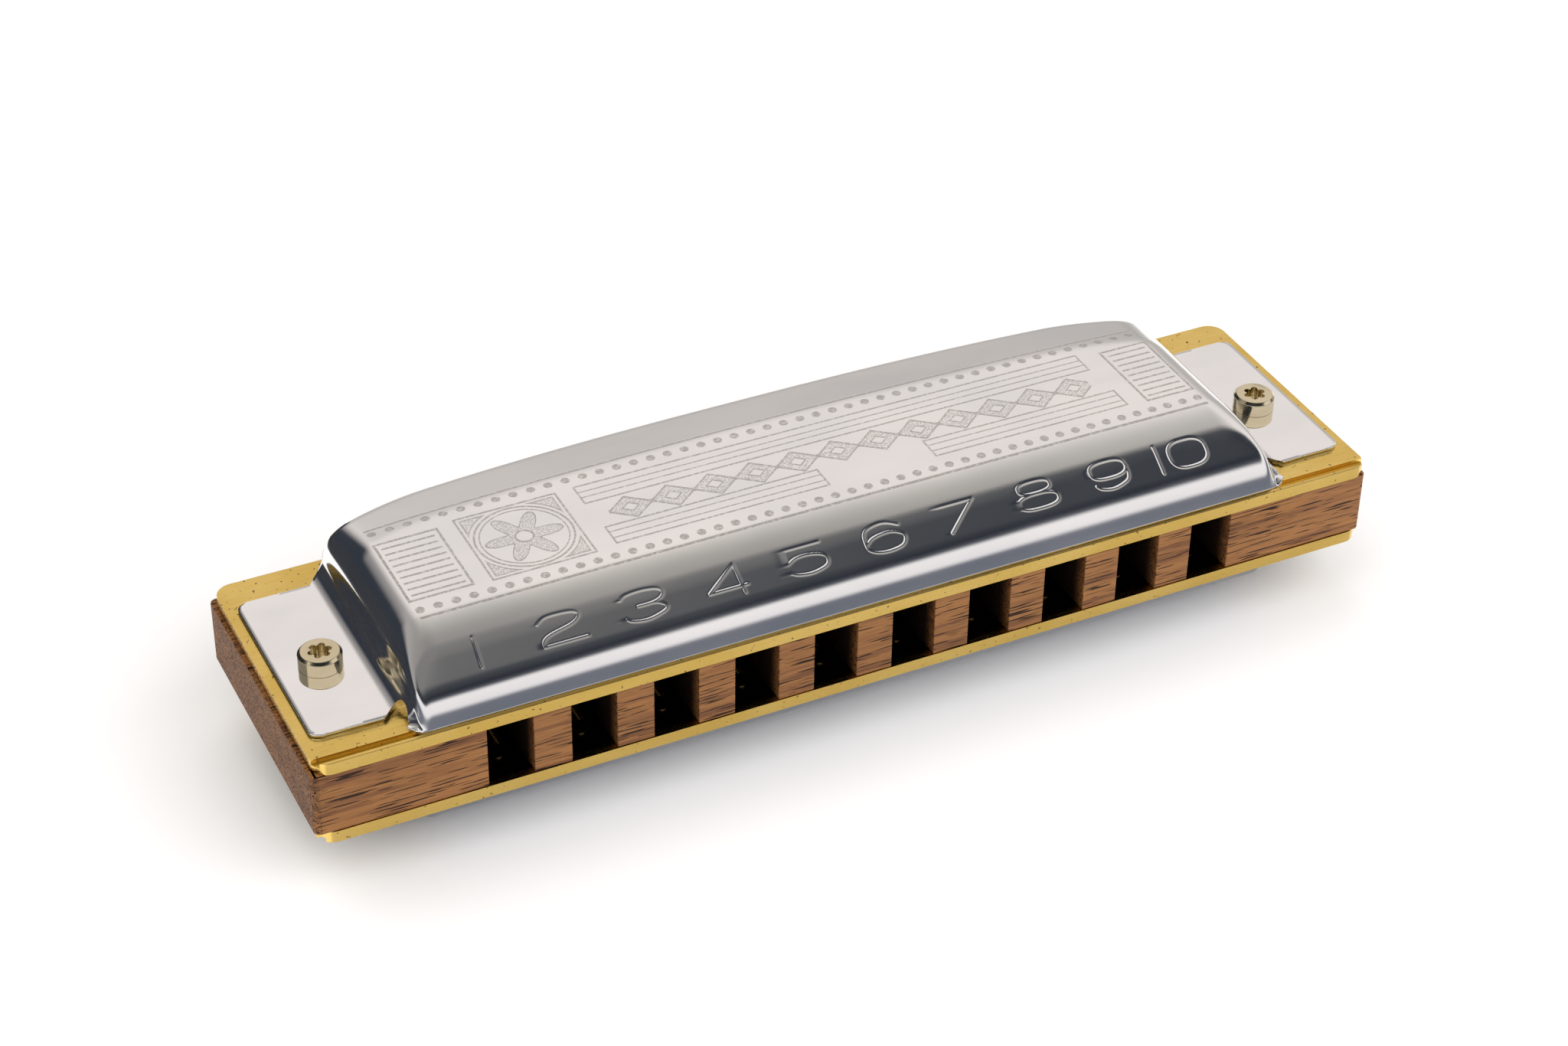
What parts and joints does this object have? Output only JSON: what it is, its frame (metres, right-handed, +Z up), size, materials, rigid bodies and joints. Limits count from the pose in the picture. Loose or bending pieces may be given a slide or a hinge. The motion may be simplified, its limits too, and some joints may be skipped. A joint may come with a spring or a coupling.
{
  "type": "diatonic harmonica",
  "caption": "Pocket mouth organ: a wooden comb with square mouth holes between two brass reed plates, each under a curved chromed cover held by screws.",
  "frame": {"origin": "centre of the bounding box at the bottom, where the lower cover rests", "axes": "+X along the length from hole 1 to hole 10, +Y from the mouth side to the back, +Z up"},
  "size_m": [0.1014, 0.0284, 0.0191],
  "materials": {
    "comb_wood": "oiled open-pored hardwood",
    "plate_brass": "brushed, lightly satin",
    "cover_chrome": "polished, with fine engraving",
    "reed_brass": "filed along the tongue",
    "rivet_brass": "polished",
    "screw_brass": "polished, pale brass plating"
  },
  "bodies": {
    "root": {"comb": "comb_wood", "blow_reed_plate": "plate_brass", "draw_reed_plate": "plate_brass", "top_cover": "cover_chrome", "bottom_cover": "cover_chrome", "blow_reed_pads": "reed_brass", "draw_reed_pads": "reed_brass", "blow_reed_rivets": "rivet_brass", "draw_reed_rivets": "rivet_brass", "reed_plate_screws": "screw_brass", "cover_screw_left": "screw_brass", "cover_nut_left": "screw_brass", "cover_screw_right": "screw_brass", "cover_nut_right": "screw_brass"},
    "blow_reed_1_body": {"blow_reed_1": "reed_brass"},
    "blow_reed_2_body": {"blow_reed_2": "reed_brass"},
    "blow_reed_3_body": {"blow_reed_3": "reed_brass"},
    "blow_reed_4_body": {"blow_reed_4": "reed_brass"},
    "blow_reed_5_body": {"blow_reed_5": "reed_brass"},
    "blow_reed_6_body": {"blow_reed_6": "reed_brass"},
    "blow_reed_7_body": {"blow_reed_7": "reed_brass"},
    "blow_reed_8_body": {"blow_reed_8": "reed_brass"},
    "blow_reed_9_body": {"blow_reed_9": "reed_brass"},
    "blow_reed_10_body": {"blow_reed_10": "reed_brass"},
    "draw_reed_1_body": {"draw_reed_1": "reed_brass"},
    "draw_reed_2_body": {"draw_reed_2": "reed_brass"},
    "draw_reed_3_body": {"draw_reed_3": "reed_brass"},
    "draw_reed_4_body": {"draw_reed_4": "reed_brass"},
    "draw_reed_5_body": {"draw_reed_5": "reed_brass"},
    "draw_reed_6_body": {"draw_reed_6": "reed_brass"},
    "draw_reed_7_body": {"draw_reed_7": "reed_brass"},
    "draw_reed_8_body": {"draw_reed_8": "reed_brass"},
    "draw_reed_9_body": {"draw_reed_9": "reed_brass"},
    "draw_reed_10_body": {"draw_reed_10": "reed_brass"}
  },
  "joints": [
    {"name": "blow_reed_1_swing", "type": "hinge", "parent": "root", "child": "blow_reed_1_body", "pos_m": [-0.03346, 0.00336, 0.01244], "axis": [-1, 0, 0], "range_deg": [-4, 4], "stiffness_Nm_per_rad": 0.03},
    {"name": "blow_reed_2_swing", "type": "hinge", "parent": "root", "child": "blow_reed_2_body", "pos_m": [-0.02596, 0.00269, 0.01244], "axis": [-1, 0, 0], "range_deg": [-3.89, 3.89], "stiffness_Nm_per_rad": 0.03},
    {"name": "blow_reed_3_swing", "type": "hinge", "parent": "root", "child": "blow_reed_3_body", "pos_m": [-0.01846, 0.00203, 0.01244], "axis": [-1, 0, 0], "range_deg": [-3.78, 3.78], "stiffness_Nm_per_rad": 0.03},
    {"name": "blow_reed_4_swing", "type": "hinge", "parent": "root", "child": "blow_reed_4_body", "pos_m": [-0.01096, 0.00136, 0.01244], "axis": [-1, 0, 0], "range_deg": [-3.67, 3.67], "stiffness_Nm_per_rad": 0.03},
    {"name": "blow_reed_5_swing", "type": "hinge", "parent": "root", "child": "blow_reed_5_body", "pos_m": [-0.00346, 0.00069, 0.01244], "axis": [-1, 0, 0], "range_deg": [-3.56, 3.56], "stiffness_Nm_per_rad": 0.03},
    {"name": "blow_reed_6_swing", "type": "hinge", "parent": "root", "child": "blow_reed_6_body", "pos_m": [0.00404, 0.00003, 0.01244], "axis": [-1, 0, 0], "range_deg": [-3.44, 3.44], "stiffness_Nm_per_rad": 0.03},
    {"name": "blow_reed_7_swing", "type": "hinge", "parent": "root", "child": "blow_reed_7_body", "pos_m": [0.01154, -0.00064, 0.01244], "axis": [-1, 0, 0], "range_deg": [-3.33, 3.33], "stiffness_Nm_per_rad": 0.03},
    {"name": "blow_reed_8_swing", "type": "hinge", "parent": "root", "child": "blow_reed_8_body", "pos_m": [0.01904, -0.00131, 0.01244], "axis": [-1, 0, 0], "range_deg": [-3.22, 3.22], "stiffness_Nm_per_rad": 0.03},
    {"name": "blow_reed_9_swing", "type": "hinge", "parent": "root", "child": "blow_reed_9_body", "pos_m": [0.02654, -0.00197, 0.01244], "axis": [-1, 0, 0], "range_deg": [-3.11, 3.11], "stiffness_Nm_per_rad": 0.03},
    {"name": "blow_reed_10_swing", "type": "hinge", "parent": "root", "child": "blow_reed_10_body", "pos_m": [0.03404, -0.00264, 0.01244], "axis": [-1, 0, 0], "range_deg": [-3, 3], "stiffness_Nm_per_rad": 0.03},
    {"name": "draw_reed_1_swing", "type": "hinge", "parent": "root", "child": "draw_reed_1_body", "pos_m": [-0.03346, -0.00929, 0.00529], "axis": [1, 0, 0], "range_deg": [-4, 4], "stiffness_Nm_per_rad": 0.03},
    {"name": "draw_reed_2_swing", "type": "hinge", "parent": "root", "child": "draw_reed_2_body", "pos_m": [-0.02596, -0.00929, 0.00529], "axis": [1, 0, 0], "range_deg": [-3.89, 3.89], "stiffness_Nm_per_rad": 0.03},
    {"name": "draw_reed_3_swing", "type": "hinge", "parent": "root", "child": "draw_reed_3_body", "pos_m": [-0.01846, -0.00929, 0.00529], "axis": [1, 0, 0], "range_deg": [-3.78, 3.78], "stiffness_Nm_per_rad": 0.03},
    {"name": "draw_reed_4_swing", "type": "hinge", "parent": "root", "child": "draw_reed_4_body", "pos_m": [-0.01096, -0.00929, 0.00529], "axis": [1, 0, 0], "range_deg": [-3.67, 3.67], "stiffness_Nm_per_rad": 0.03},
    {"name": "draw_reed_5_swing", "type": "hinge", "parent": "root", "child": "draw_reed_5_body", "pos_m": [-0.00346, -0.00929, 0.00529], "axis": [1, 0, 0], "range_deg": [-3.56, 3.56], "stiffness_Nm_per_rad": 0.03},
    {"name": "draw_reed_6_swing", "type": "hinge", "parent": "root", "child": "draw_reed_6_body", "pos_m": [0.00404, -0.00929, 0.00529], "axis": [1, 0, 0], "range_deg": [-3.44, 3.44], "stiffness_Nm_per_rad": 0.03},
    {"name": "draw_reed_7_swing", "type": "hinge", "parent": "root", "child": "draw_reed_7_body", "pos_m": [0.01154, -0.00929, 0.00529], "axis": [1, 0, 0], "range_deg": [-3.33, 3.33], "stiffness_Nm_per_rad": 0.03},
    {"name": "draw_reed_8_swing", "type": "hinge", "parent": "root", "child": "draw_reed_8_body", "pos_m": [0.01904, -0.00929, 0.00529], "axis": [1, 0, 0], "range_deg": [-3.22, 3.22], "stiffness_Nm_per_rad": 0.03},
    {"name": "draw_reed_9_swing", "type": "hinge", "parent": "root", "child": "draw_reed_9_body", "pos_m": [0.02654, -0.00929, 0.00529], "axis": [1, 0, 0], "range_deg": [-3.11, 3.11], "stiffness_Nm_per_rad": 0.03},
    {"name": "draw_reed_10_swing", "type": "hinge", "parent": "root", "child": "draw_reed_10_body", "pos_m": [0.03404, -0.00929, 0.00529], "axis": [1, 0, 0], "range_deg": [-3, 3], "stiffness_Nm_per_rad": 0.03}
  ]
}
